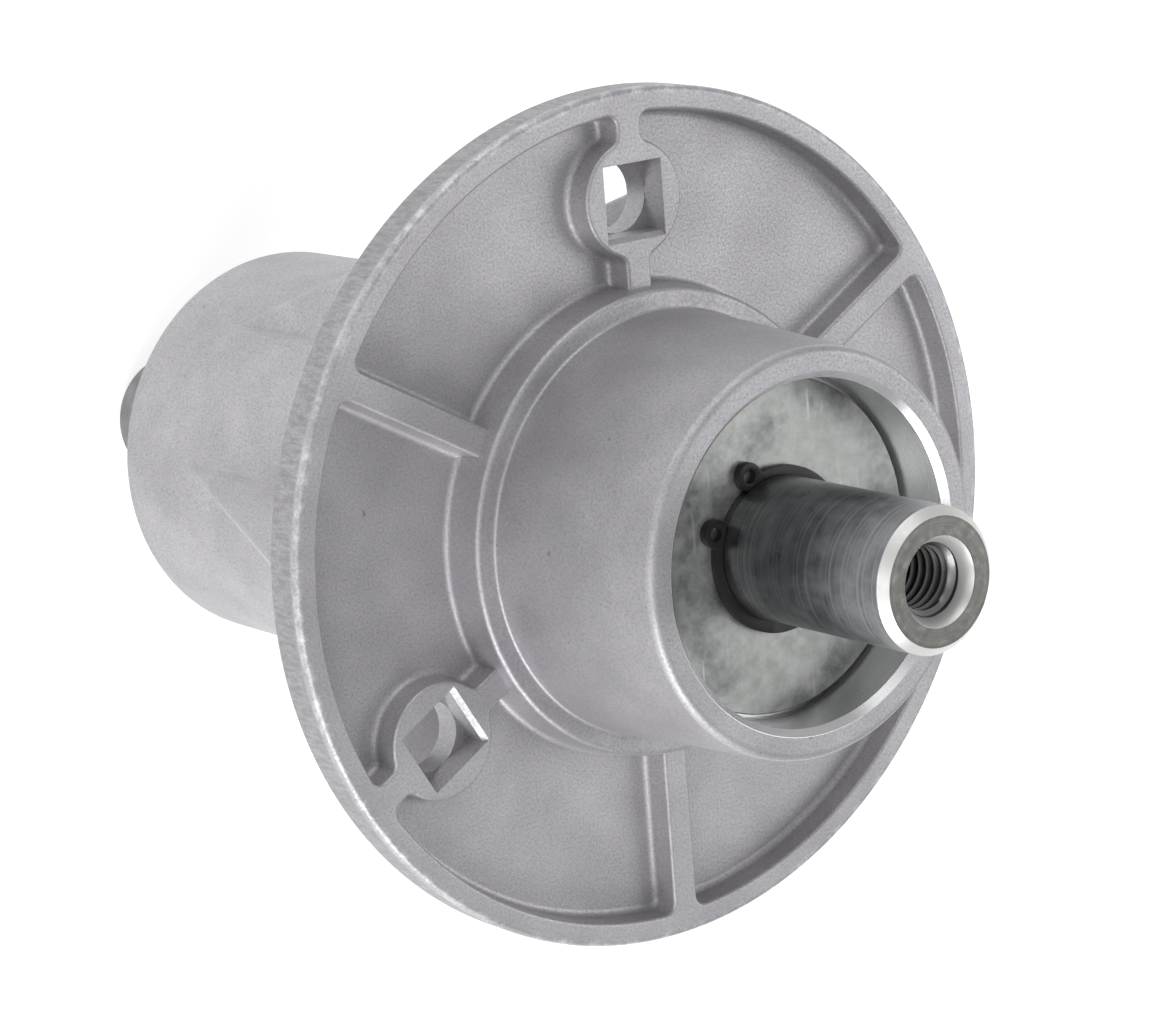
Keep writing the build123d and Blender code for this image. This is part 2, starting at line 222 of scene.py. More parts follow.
class Mould:
    """A mesh under construction, in millimetres, that becomes one piece of the scene."""

    def __init__(self) -> None:
        """Start an empty mesh."""
        self.bm = bmesh.new()

    def turn(self, profile: Sequence[Point], steps: int) -> None:
        """Turn a profile about the Z axis.

        Args:
            profile: Radius and height of each point.
            steps: Divisions of the full turn.
        """
        verts = [self.bm.verts.new((radius, 0.0, height)) for radius, height in profile]
        edges = [self.bm.edges.new(pair) for pair in zip(verts, verts[1:])]
        bmesh.ops.spin(self.bm, geom=verts + edges, axis=(0, 0, 1), cent=(0, 0, 0), dvec=(0, 0, 0),
                       angle=FULL_TURN, steps=steps, use_merge=True, use_duplicate=False)

    def loop(self, points: Iterable[Point], height: float) -> list[Edge]:
        """Add a closed loop of edges at one height."""
        verts = [self.bm.verts.new((x, y, height)) for x, y in points]
        return [self.bm.edges.new(pair) for pair in zip(verts, verts[1:] + verts[:1])]

    def sheet(self, points: Iterable[Point], height: float) -> Face:
        """Add one flat face at one height.

        Args:
            points: The face's corners, anticlockwise from above.
            height: Height of the face.

        Returns:
            The face.
        """
        face = self.bm.faces.new([self.bm.verts.new((x, y, height)) for x, y in points])
        self.bm.normal_update()
        return face

    def open_edges(self, height: float) -> list[Edge]:
        """Edges at one height that have fewer than two faces."""
        free = [edge for edge in self.bm.edges if len(edge.link_faces) < 2]
        return [edge for edge in free if all(abs(vert.co.z - height) < SAME_LEVEL for vert in edge.verts)]

    def draw_out(self, edges: Sequence[Edge]) -> tuple[list[Vert], list[Edge]]:
        """Extrude edges without moving them, and give the new vertices and edges."""
        grown = bmesh.ops.extrude_edge_only(self.bm, edges=edges)["geom"]
        return tuple([item for item in grown if isinstance(item, kind)] for kind in (Vert, Edge))

    def thicken(self, shift: Triple) -> None:
        """Extrude all faces by one shift.

        Args:
            shift: How far, and which way.
        """
        grown = bmesh.ops.extrude_face_region(self.bm, geom=self.bm.faces[:])["geom"]
        lifted = [item for item in grown if isinstance(item, Vert)]
        bmesh.ops.translate(self.bm, vec=shift, verts=lifted)

    def fill(self, edges: Sequence[Edge]) -> None:
        """Fill the flat region between closed loops of edges."""
        bmesh.ops.triangle_fill(self.bm, use_beauty=True, use_dissolve=False, edges=edges)

    def fill_sectors(self, edges: Sequence[Edge], centre: Point, start: float, count: int) -> None:
        """Fill a flat region one sector at a time, with straight cuts between the sectors.

        Args:
            edges: The loops round the region.
            centre: Where the cuts meet.
            start: Angle of the first cut, in radians.
            count: Number of sectors.
        """
        middle = Vector(centre)
        spacing = FULL_TURN / count
        verts = {vert for edge in edges for vert in edge.verts}
        border = list(edges)
        for index in range(count):
            along, aside = directions(start + index * spacing)
            reach = {vert: (vert.co.xy - middle).dot(along) for vert in verts
                     if abs((vert.co.xy - middle).dot(aside)) < SAME_LINE}
            met = sorted((vert for vert in reach if reach[vert] > 0), key=reach.get)
            border += [self.bm.edges.new(pair) for pair in zip(met[::2], met[1::2])]
        limit = math.cos(spacing / 2) - SAME_COSINE
        for index in range(count):
            along, _ = directions(start + (index + 0.5) * spacing)
            self.fill([edge for edge in border
                       if all((vert.co.xy - middle).normalized().dot(along) > limit for vert in edge.verts)])

    def join(self, part: "Mould", turn: float = 0.0) -> None:
        """Add another mesh to this one.

        Args:
            part: The other mesh, which is used up.
            turn: Angle in radians that it is first turned about the Z axis.
        """
        bmesh.ops.rotate(part.bm, cent=(0, 0, 0), matrix=Matrix.Rotation(turn, 3, "Z"), verts=part.bm.verts)
        loose = bpy.data.meshes.new("loose part")
        part.bm.to_mesh(loose)
        part.bm.free()
        self.bm.from_mesh(loose)
        bpy.data.meshes.remove(loose)

    def weld(self) -> None:
        """Merge the doubles and point all faces outwards."""
        bmesh.ops.remove_doubles(self.bm, verts=self.bm.verts, dist=SAME_LEVEL)
        bmesh.ops.recalc_face_normals(self.bm, faces=self.bm.faces)

    def soften(self, radius: float, angle: float = 50.0, segments: int = 2) -> None:
        """Bevel every edge that is sharper than an angle.

        Args:
            radius: Width of the bevel.
            angle: Smallest angle between the faces, in degrees.
            segments: Faces across the bevel.
        """
        limit = math.radians(angle)
        sharp = [edge for edge in self.bm.edges
                 if len(edge.link_faces) == 2 and edge.calc_face_angle() > limit]
        bmesh.ops.bevel(self.bm, geom=sharp, offset=radius, offset_type="OFFSET", segments=segments,
                        profile=0.5, affect="EDGES", material=-1, clamp_overlap=True)

    def piece(self, name: str, finishes: Sequence[Material], sharp: float = 38.0) -> Item:
        """Turn the mesh into an object in metres.

        Args:
            name: Name of the object.
            finishes: Its materials, in the order that the faces count them.
            sharp: Angle in degrees past which an edge stays sharp in the shading.

        Returns:
            The object, at the origin, with its place in its mesh.
        """
        bmesh.ops.scale(self.bm, vec=(MM, MM, MM), verts=self.bm.verts)
        mesh = bpy.data.meshes.new(name)
        self.bm.to_mesh(mesh)
        self.bm.free()
        for finish in finishes:
            mesh.materials.append(finish)
        for polygon in mesh.polygons:
            polygon.use_smooth = True
        mesh.set_sharp_from_angle(angle=math.radians(sharp))
        item = put_in_scene(name, mesh)
        shading = item.modifiers.new("even shading", "WEIGHTED_NORMAL")
        shading.keep_sharp = True
        shading.weight = 100
        return item


class NodeTree:
    """Builds the nodes of a material or of the world."""

    def __init__(self, owner: Material | bpy.types.World) -> None:
        """Start an empty tree.

        Args:
            owner: The material or the world.
        """
        owner.use_nodes = True
        self.nodes = owner.node_tree.nodes
        self.links = owner.node_tree.links
        self.nodes.clear()

    def put(self, entry: Socket, value: Socket | Colour | float) -> None:
        """Link an input to a socket, or set its value.

        Args:
            entry: The input.
            value: The socket or the value.
        """
        if isinstance(value, Socket):
            self.links.new(value, entry)
        else:
            entry.default_value = value

    def add(self, kind: str, **inputs: Socket | Colour | float) -> bpy.types.Node:
        """Add a node.

        Args:
            kind: Its type, without the ShaderNode in front.
            inputs: Sockets and values of its inputs, with underscores for the spaces in their names.

        Returns:
            The node.
        """
        node = self.nodes.new(f"ShaderNode{kind}")
        for name, value in inputs.items():
            self.put(node.inputs[name.replace("_", " ")], value)
        return node

    def maths(self, operation: str, first: Socket | float, second: Socket | float = 0.0) -> Socket:
        """Add a Math node.

        Args:
            operation: Name of the operation.
            first: First value or socket.
            second: Second value or socket.

        Returns:
            The result.
        """
        node = self.add("Math")
        node.operation = operation
        self.put(node.inputs[0], first)
        self.put(node.inputs[1], second)
        return node.outputs[0]


class ShaderTree(NodeTree):
    """Builds the node tree of one finish."""

    def __init__(self, name: str) -> None:
        """Start a material.

        Args:
            name: Name of the material.
        """
        self.material = bpy.data.materials.new(name)
        super().__init__(self.material)
        self.place = self.add("TexCoord").outputs["Object"]

    def axes(self) -> tuple[Socket, ...]:
        """X, Y and Z of the place on the object."""
        return tuple(self.add("SeparateXYZ", Vector=self.place).outputs)

    def radius(self) -> Socket:
        """Distance from the Z axis.

        Returns:
            The distance in metres.
        """
        x, y, _ = self.axes()
        squares = self.maths("ADD", self.maths("MULTIPLY", x, x), self.maths("MULTIPLY", y, y))
        return self.maths("SQRT", squares)

    def noise(self, scale: float, detail: float = 3.0, roughness: float = 0.5,
              along: Optional[Socket] = None, stretch: Optional[Triple] = None) -> Socket:
        """Add a noise texture.

        Args:
            scale: Noise cells per metre.
            detail: Octaves.
            roughness: Share of the fine octaves.
            along: One value that the noise runs along; the place on the object if None.
            stretch: Scale of each axis before the noise.

        Returns:
            The noise from 0 to 1.
        """
        node = self.add("TexNoise", Scale=scale, Detail=detail, Roughness=roughness)
        if along is not None:
            node.noise_dimensions = "1D"
            self.put(node.inputs["W"], along)
        elif stretch is not None:
            mapping = self.add("Mapping", Vector=self.place, Scale=stretch)
            self.put(node.inputs["Vector"], mapping.outputs["Vector"])
        else:
            self.put(node.inputs["Vector"], self.place)
        return node.outputs["Fac"]

    def range(self, value: Socket, low: float, high: float, to_low: float, to_high: float) -> Socket:
        """Map a value from low..high to to_low..to_high, clamped."""
        node = self.add("MapRange", Value=value, From_Min=low, From_Max=high, To_Min=to_low, To_Max=to_high)
        return node.outputs["Result"]

    def blend(self, share: Socket, first: Socket | Colour, second: Socket | Colour) -> Socket:
        """Mix two colours.

        Args:
            share: Share of the second colour.
            first: First colour or socket.
            second: Second colour or socket.

        Returns:
            The mixed colour.
        """
        node = self.add("Mix")
        node.data_type = "RGBA"
        for entry, value in (("Factor", share), (6, first), (7, second)):
            self.put(node.inputs[entry], value)
        return node.outputs[2]

    def bump(self, height: Socket, depth: float, strength: float = 1.0) -> Socket:
        """Normal bumped by a height from 0 to 1, where 1 is depth metres high."""
        return self.add("Bump", Strength=strength, Distance=depth, Height=height).outputs["Normal"]

    def finish(self, metallic: float, colour: Socket, roughness: Socket, normal: Socket) -> Material:
        """Feed the shader and close the tree.

        Args:
            metallic: Share of metal in the reflection.
            colour: The base colour.
            roughness: The roughness.
            normal: The bumped normal.

        Returns:
            The finished material.
        """
        shader = self.add("BsdfPrincipled", Metallic=metallic, IOR=COATED_IOR, Base_Color=colour,
                          Roughness=roughness, Normal=normal)
        self.add("OutputMaterial", Surface=shader.outputs["BSDF"])
        return self.material


@dataclass(frozen=True)
class CastSkin:
    """Bead-blasted die-cast aluminium: a fine grain, faint clouds, small pits, a knocked rim and a painted
    highlight along the rim's front edge.
    """

    base: Colour = (0.44, 0.43, 0.455, 1.0)
    cloud: Colour = (0.52, 0.51, 0.53, 1.0)
    pit: Colour = (0.20, 0.195, 0.205, 1.0)
    # Near-white of the rim's front edge: bare worn metal together with a painted highlight.
    worn_and_highlight: Colour = (0.80, 0.79, 0.81, 1.0)
    scuffed: Colour = (0.25, 0.245, 0.255, 1.0)
    grain_size: float = 0.35
    grain_depth: float = 0.045
    pit_size: float = 2.2

    def build(self) -> Material:
        """Make the material.

        Returns:
            The finished material.
        """
        tree = ShaderTree("blasted cast aluminium")
        clouds = tree.noise(90.0, 4.0, 0.55)
        grain = tree.noise(1 / (self.grain_size * MM), 2.0, 0.6)
        pits = tree.noise(1 / (self.pit_size * MM), 3.0, 0.7)
        colour = tree.blend(tree.range(clouds, 0.35, 0.68, 0.0, 1.0), self.base, self.cloud)
        speckle = tree.blend(tree.range(grain, 0.40, 0.72, 0.0, 0.42), colour, self.pit)
        pitted = tree.blend(tree.range(pits, 0.29, 0.25, 0.0, 0.8), speckle, self.pit)
        # Painted highlight: the rounded front edge of the rim is painted near-white, standing for wear and
        # for the light that the rounding catches.
        worn_and_highlight = tree.blend(self.rim_wear_and_highlight(tree), pitted, self.worn_and_highlight)
        scuffed = tree.blend(self.rim_scuffs(tree), worn_and_highlight, self.scuffed)
        return tree.finish(0.72, scuffed, tree.range(grain, 0.2, 0.8, 0.42, 0.58),
                           tree.bump(grain, self.grain_depth * MM, 0.55))

    def rim_wear_and_highlight(self, tree: ShaderTree) -> Socket:
        """Where the front edge of the rim is worn bright and carries a painted highlight on its rounding, in
        broken stretches.

        Args:
            tree: Nodes of the finish.

        Returns:
            The wear from 0 to 1.
        """
        _, _, z = tree.axes()
        outside = tree.range(tree.radius(), 60.1 * MM, 60.7 * MM, 0.0, 1.0)
        in_front = tree.range(z, -1.2 * MM, -0.7 * MM, 0.0, 1.0)
        broken = tree.range(tree.noise(330.0, 6.0, 0.75), 0.48, 0.64, 0.0, 0.65)
        return tree.maths("MULTIPLY", tree.maths("MULTIPLY", outside, in_front), broken)

    def rim_scuffs(self, tree: ShaderTree) -> Socket:
        """Where the side of the rim is scuffed dark, in streaks across it.

        Args:
            tree: Nodes of the finish.

        Returns:
            The scuffs from 0 to 1.
        """
        _, _, z = tree.axes()
        on_side = tree.range(tree.radius(), 61.1 * MM, 61.35 * MM, 0.0, 1.0)
        behind = tree.range(z, -1.0 * MM, -1.6 * MM, 0.0, 1.0)
        streaks = tree.range(tree.noise(1500.0, 4.0, 0.65, stretch=(1.0, 1.0, 0.25)), 0.40, 0.66, 0.30, 0.85)
        return tree.maths("MULTIPLY", tree.maths("MULTIPLY", on_side, behind), streaks)


@dataclass(frozen=True)
class MachinedAluminium:
    """Aluminium cut on a lathe: bright, with fine rings round the axis."""

    base: Colour = (0.86, 0.86, 0.87, 1.0)
    line: Colour = (0.70, 0.70, 0.72, 1.0)
    feed_pitch: float = 0.12

    def build(self) -> Material:
        """Make the material.

        Returns:
            The finished material.
        """
        tree = ShaderTree("turned aluminium")
        _, _, z = tree.axes()
        run = tree.maths("ADD", tree.radius(), z)
        lines = tree.noise(1 / (self.feed_pitch * MM), 2.0, 0.6, along=run)
        return tree.finish(0.9, tree.blend(lines, self.base, self.line),
                           tree.range(lines, 0.2, 0.8, 0.22, 0.36), tree.bump(lines, 0.006 * MM, 0.6))


@dataclass(frozen=True)
class DarkSteel:
    """Turned shaft steel, dark and oiled, with soft blotches along it."""

    dark: Colour = (0.17, 0.175, 0.185, 1.0)
    light: Colour = (0.27, 0.275, 0.285, 1.0)
    line: Colour = (0.36, 0.365, 0.37, 1.0)
    blotch_size: float = 3.0
    feed_pitch: float = 0.15

    def build(self) -> Material:
        """Make the material.

        Returns:
            The finished material.
        """
        tree = ShaderTree("oiled shaft steel")
        _, _, z = tree.axes()
        blotches = tree.noise(1 / (self.blotch_size * MM), 5.0, 0.6)
        lines = tree.noise(1 / (self.feed_pitch * MM), 2.0, 0.5, along=z)
        brushed = tree.noise(1 / (4 * self.feed_pitch * MM), 3.0, 0.6, along=z)
        colour = tree.blend(tree.range(blotches, 0.36, 0.66, 0.0, 1.0), self.dark, self.light)
        lined = tree.blend(tree.range(brushed, 0.45, 0.75, 0.0, 0.8), colour, self.line)
        return tree.finish(0.95, lined, tree.range(blotches, 0.3, 0.7, 0.26, 0.38),
                           tree.bump(lines, 0.004 * MM, 0.5))


@dataclass(frozen=True)
class FacedSteel:
    """The faced end of the shaft, with rings from the lathe tool."""

    base: Colour = (0.105, 0.105, 0.10, 1.0)
    ring: Colour = (0.20, 0.20, 0.185, 1.0)
    cloud: Colour = (0.09, 0.09, 0.085, 1.0)
    ring_pitch: float = 0.22

    def build(self) -> Material:
        """Make the material.

        Returns:
            The finished material.
        """
        tree = ShaderTree("faced steel")
        _, _, z = tree.axes()
        run = tree.maths("SUBTRACT", tree.radius(), z)
        rings = tree.noise(1 / (self.ring_pitch * MM), 2.0, 0.6, along=run)
        clouds = tree.noise(700.0, 3.0, 0.6)
        colour = tree.blend(tree.range(rings, 0.3, 0.7, 0.0, 1.0), self.base, self.ring)
        shaded = tree.blend(tree.range(clouds, 0.35, 0.7, 0.0, 0.35), colour, self.cloud)
        return tree.finish(0.95, shaded, tree.range(clouds, 0.3, 0.7, 0.24, 0.40),
                           tree.bump(rings, 0.008 * MM, 0.6))


@dataclass(frozen=True)
class ZincPlate:
    """Dull zinc plate, mottled with darker stains and lightly scratched."""

    base: Colour = (0.29, 0.30, 0.29, 1.0)
    patch: Colour = (0.50, 0.51, 0.50, 1.0)
    stain: Colour = (0.13, 0.135, 0.14, 1.0)
    scratch: Colour = (0.62, 0.63, 0.62, 1.0)

    def build(self) -> Material:
        """Make the material.

        Returns:
            The finished material.
        """
        tree = ShaderTree("dull zinc plate")
        patches = tree.noise(420.0, 6.0, 0.62)
        scratches = tree.noise(900.0, 2.0, 0.5, stretch=(1.0, 0.09, 1.0))
        stains = tree.noise(110.0, 5.0, 0.68)
        colour = tree.blend(tree.range(patches, 0.36, 0.66, 0.0, 1.0), self.base, self.patch)
        stained = tree.blend(tree.range(stains, 0.50, 0.68, 0.0, 0.75), colour, self.stain)
        marked = tree.blend(tree.range(scratches, 0.66, 0.72, 0.0, 0.6), stained, self.scratch)
        return tree.finish(0.8, marked, tree.range(patches, 0.3, 0.7, 0.34, 0.52),
                           tree.bump(patches, 0.02 * MM, 0.5))


@dataclass(frozen=True)
class PlainFinish:
    """A finish with one colour and a faint unevenness."""

    name: str
    colour: Colour
    metallic: float
    roughness: float
    unevenness: float = 0.06
    patch_size: float = 1.5

    def build(self) -> Material:
        """Make the material.

        Returns:
            The finished material.
        """
        tree = ShaderTree(self.name)
        patches = tree.noise(1 / (self.patch_size * MM), 3.0, 0.55)
        darker = tuple(part * (1 - 3 * self.unevenness) for part in self.colour[:3]) + (1.0,)
        low, high = self.roughness - self.unevenness, self.roughness + self.unevenness
        return tree.finish(self.metallic, tree.blend(patches, self.colour, darker),
                           tree.range(patches, 0.3, 0.7, low, high), tree.bump(patches, 0.01 * MM, 0.4))


class Finishes:
    """All materials of the spindle, built once."""

    def __init__(self) -> None:
        """Build every material."""
        self.cast = CastSkin().build()
        self.machined = MachinedAluminium().build()
        self.shaft = DarkSteel().build()
        self.faced = FacedSteel().build()
        self.thread = PlainFinish("thread steel", (0.24, 0.24, 0.24, 1.0), 0.95, 0.36, 0.05, 0.6).build()
        bright, black = (0.78, 0.78, 0.77, 1.0), (0.022, 0.022, 0.024, 1.0)
        self.chamfered = PlainFinish("chamfered steel", bright, 0.55, 0.36, 0.05, 0.9).build()
        self.zinc = ZincPlate().build()
        self.black = PlainFinish("black spring steel", black, 0.3, 0.42, 0.06, 0.8).build()
        self.hidden = {
            Slot.SLEEVE: PlainFinish("drawn tube", (0.45, 0.45, 0.46, 1.0), 0.95, 0.4).build(),
            Slot.BEARING: PlainFinish("ground ring steel", (0.62, 0.62, 0.63, 1.0), 0.98, 0.22).build(),
            Slot.BALL: PlainFinish("polished ball steel", (0.80, 0.80, 0.81, 1.0), 1.0, 0.06, 0.01).build(),
            Slot.CAGE: PlainFinish("pressed cage steel", (0.52, 0.51, 0.48, 1.0), 0.95, 0.34).build(),
            Slot.SEAL: PlainFinish("seal rubber", (0.02, 0.02, 0.02, 1.0), 0.0, 0.62).build(),
        }


@dataclass
class Housing:
    """The cast housing: hub, ribbed flange with three bolt bosses, tube, gussets. Sizes in millimetres."""

    finishes: Finishes
    hub_length: float = 34.0
    hub_face_r: float = 28.4
    hub_root_r: float = 30.5
    hub_edge: float = 1.3
    hub_foot: float = 0.5
    tube_length: float = 94.5
    tube_end_r: float = 30.2
    tube_root_r: float = 30.7
    tube_edge: float = 1.0
    recess_r: float = 24.0
    recess_edge: float = 0.15
    seat_r: float = 23.5
    cavity_r: float = 20.4
    mouth_chamfer: float = 1.0
    cut_margin: float = 0.05
    front_seat: Point = (9.4, 23.4)
    rear_seat: Point = (-83.9, -69.9)
    flange_r: float = 61.4
    rim_inner_r: float = 58.0
    rim_thickness: float = 6.0
    rim_edge: float = 0.9
    back_z: float = -7.2
    back_bevel: float = 1.2
    back_land: float = 1.0
    back_edge: float = 0.5
    bevel_edge: float = 0.4
    ring_r: float = 33.5
    ring_height: float = 2.3
    ring_edge: float = 0.8
    tube_root: float = 1.0
    pocket_corner_straight: float = 2.2
    rib_width: float = 4.1
    pocket_depth: float = 4.2
    pocket_draft: float = 4.0
    pocket_corner: float = 1.6
    pocket_floor_edge: float = 1.0
    pocket_mouth_edge: float = 0.5
    bolt_r: float = 46.0
    boss_r: float = 8.3
    hole_r: float = 5.1
    hole_clear: float = 0.02
    neck_side: float = 10.2
    neck_depth: float = 4.2
    neck_lip: float = 0.7
    pad_r: float = 10.0
    pad_height: float = 1.0
    pad_edge: float = 0.3
    boss_angle: float = 90.0
    bosses: int = 3
    gusset_spread: float = 37.4
    gusset_thickness: float = 3.5
    gusset_reach: float = 47.8
    gusset_end_gap: float = 17.5
    gusset_edge: float = 0.7
    gusset_sink: float = 1.5
    turn_steps: int = 288
    edge_segments: int = 6
    rounding_steps: int = 4
    fine_step: float = math.radians(12)
    hole_step: float = math.radians(6)
    ring_step: float = math.radians(1.5)
    rim_step: float = math.radians(1.25)

    def build(self) -> Item:
        """Build the housing.

        Returns:
            The finished piece, riding on the housing body.
        """
        mould = Mould()
        mould.turn(self.body_profile(), self.turn_steps)
        mould.turn(self.rim_profile(), self.turn_steps)
        first = math.radians(self.boss_angle)
        turns = [first + index * FULL_TURN / self.bosses for index in range(self.bosses)]
        for turn in turns:
            self.add_pocket(mould, turn, mirrored=False)
            self.add_pocket(mould, turn, mirrored=True)
            self.add_socket(mould, turn)
        self.raise_ring(mould)
        mould.fill_sectors(mould.open_edges(0.0), (0.0, 0.0), first, 2 * self.bosses)
        mould.fill(mould.open_edges(self.back_z))
        mould.weld()
        for face in self.machined_faces(mould):
            face.material_index = 1
        for turn in turns:
            for side in (-1, 1):
                self.add_gusset(mould, turn, side)
        piece = mould.piece("housing_casting", [self.finishes.cast, self.finishes.machined])
        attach(piece, "housing")
        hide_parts("housing")
        return piece

    def body_profile(self) -> list[Point]:
        """Profile of hub, bore and tube, from the top of the ring to the flange's back face.

        Returns:
            Radius and height of each point.
        """
        top, bottom = self.hub_length, -self.tube_length
        foot_r = self.hub_root_r + (self.hub_face_r - self.hub_root_r) * self.ring_height / top
        points = [
            (foot_r + 2 * self.hub_foot, self.ring_height),
            (foot_r, self.ring_height),
            (self.hub_face_r, top),
            (self.recess_r + self.mouth_chamfer, top),
            (self.recess_r, top - self.mouth_chamfer),
            (self.recess_r, self.front_seat[1]),
            (self.seat_r, self.front_seat[1]),
            (self.seat_r, self.front_seat[0]),
            (self.cavity_r, self.front_seat[0]),
            (self.cavity_r, self.rear_seat[1]),
            (self.seat_r, self.rear_seat[1]),
            (self.seat_r, self.rear_seat[0]),
            (self.recess_r, self.rear_seat[0]),
            (self.recess_r, bottom + self.mouth_chamfer),
            (self.recess_r + self.mouth_chamfer, bottom),
            (self.tube_end_r, bottom),
            (self.tube_root_r, self.back_z),
            (self.tube_root_r + 2 * self.tube_root, self.back_z),
        ]
        radii = dict.fromkeys((3, 4, 13, 14), self.recess_edge)
        radii |= {1: self.hub_foot, 2: self.hub_edge, 15: self.tube_edge, 16: self.tube_root}
        return rounded(points, radii, self.edge_segments)

    def rim_profile(self) -> list[Point]:
        """Profile of the flange's rim, from the front face to the back face.

        Returns:
            Radius and height of each point.
        """
        points = [
            (self.flange_r - 2 * self.rim_edge, 0.0),
            (self.flange_r, 0.0),
            (self.flange_r, -self.rim_thickness),
            (self.flange_r - self.back_bevel, self.back_z),
            (self.flange_r - self.back_bevel - self.back_land, self.back_z),
        ]
        return rounded(points, {1: self.rim_edge, 2: self.back_edge, 3: self.bevel_edge}, self.edge_segments)

    def pocket_outline(self, growth: float) -> list[Point]:
        """Outline of the pocket beside the boss on +X, towards +Y.

        Args:
            growth: How far the outline is moved out into the ribs.

        Returns:
            The outline's points, anticlockwise.
        """
        half = self.rib_width / 2 - growth
        corner = self.pocket_corner + growth
        spacing = FULL_TURN / (2 * self.bosses)
        spoke = Straight((0.0, half), 0.0)
        rib_side = (half * math.sin(spacing), -half * math.cos(spacing))
        rib = Straight(rib_side, spacing + math.pi)
        boss = Round((self.bolt_r, 0.0), self.boss_r - growth, -1)
        rim = Round((0.0, 0.0), self.rim_inner_r + growth, 1)
        ring = Round((0.0, 0.0), self.ring_r - growth, -1)
        rib_reach = [on_circle(radius, spacing) for radius in (rim.radius, ring.radius)]
        corners = [
            spoke.corner(ring, 0.0, (ring.radius, half)),
            spoke.corner(boss, corner, (self.bolt_r - boss.radius, half)),
            spoke.corner(boss, corner, (self.bolt_r + boss.radius, half)),
            spoke.corner(rim, corner, (rim.radius, half)),
            rib.corner(rim, corner, rib_reach[0]),
            rib.corner(ring, 0.0, rib_reach[1]),
        ]
        points = [corners[0][0]]
        points += self.fillet(corners[1], corner, line_first=True)
        points += boss.run(corners[1][2], corners[2][2], self.fine_step / 2)
        points += self.fillet(corners[2], corner, line_first=False)
        points += self.fillet(corners[3], corner, line_first=True)
        points += rim.run(corners[3][2], corners[4][2], self.rim_step)
        points += self.fillet(corners[4], corner, line_first=False)
        points.append(corners[5][0])
        ends = (corners[5][0], corners[0][0])
        points += [point for point in ring.run(*ends, self.ring_step)
                   if min(math.dist(point, end) for end in ends) > self.pocket_corner_straight]
        return points

    def fillet(self, corner: tuple[Point, Point, Point], radius: float, line_first: bool) -> list[Point]:
        """Points of a fillet of the pocket's outline.

        Args:
            corner: Centre, end on the straight side and end on the round side.
            radius: Fillet radius.
            line_first: Whether the straight side comes before the round one.

        Returns:
            The points, anticlockwise round the fillet's centre.
        """
        centre, on_line, on_round = corner
        first, last = (on_line, on_round) if line_first else (on_round, on_line)
        start = angle_of(first, centre)
        sweep = (angle_of(last, centre) - start) % FULL_TURN
        return arc(centre, radius, start, start + sweep, self.fine_step)

    def add_pocket(self, mould: Mould, turn: float, mirrored: bool) -> None:
        """Sink one pocket into the ribbed face.

        Args:
            mould: Mesh of the housing.
            turn: Direction of the boss beside it, in radians.
            mirrored: Whether the pocket lies on the clockwise side of the boss.
        """
        draft = math.radians(self.pocket_draft)
        lean = math.pi / 2 - draft
        mouth, floor = self.pocket_mouth_edge, self.pocket_floor_edge
        part = Mould()
        face = part.sheet(self.pocket_outline(mouth * math.tan(lean / 2)), 0.0)
        for radius, sign in ((mouth, 1), (floor, -1)):
            previous = (0.0, 0.0)
            for i in range(1, self.rounding_steps + 1):
                angle = lean * i / self.rounding_steps
                if sign > 0:
                    place = (radius * math.sin(angle), radius * (1 - math.cos(angle)))
                else:
                    rest = lean - angle
                    place = (radius * (math.sin(lean) - math.sin(rest)),
                             radius * (math.cos(rest) - math.cos(lean)))
                self.inset(part, face, place[0] - previous[0], place[1] - previous[1])
                previous = place
            if sign > 0:
                wall = self.pocket_depth - (mouth + floor) * (1 - math.cos(lean))
                self.inset(part, face, wall * math.tan(draft), wall)
        self.straighten_ring_side(part, mouth * (1 - math.cos(lean)))
        border = list(face.edges)
        bmesh.ops.delete(part.bm, geom=[face], context="FACES_ONLY")
        part.fill(border)
        if mirrored:
            bmesh.ops.scale(part.bm, vec=(1, -1, 1), verts=part.bm.verts)
        mould.join(part, turn)

    def straighten_ring_side(self, part: Mould, depth: float) -> None:
        """Move a pocket's mouth beside the ring onto its wall, which goes on up the side of the ring.

        Args:
            part: Mesh of the pocket beside the boss on +X, towards +Y.
            depth: Depth of the rounding of the mouth.
        """
        rows: dict[float, list[Vert]] = {}
        for vert in part.bm.verts:
            if vert.co.z > -depth - SAME_LEVEL and vert.co.xy.length < self.ring_r + self.pocket_mouth_edge:
                rows.setdefault(round(vert.co.z, 3), []).append(vert)
        for row in rows.values():
            row.sort(key=lambda vert: angle_of(vert.co))
            reach = self.ring_r - row[0].co.z * math.tan(math.radians(self.pocket_draft))
            for vert in row[1:-1]:
                vert.co.xy = vert.co.xy.normalized() * reach
            for vert, angle in ((row[0], 0.0), (row[-1], FULL_TURN / (2 * self.bosses))):
                along, aside = directions(angle)
                offset = vert.co.xy.dot(aside)
                vert.co.xy = along * math.sqrt(reach ** 2 - offset ** 2) + aside * offset

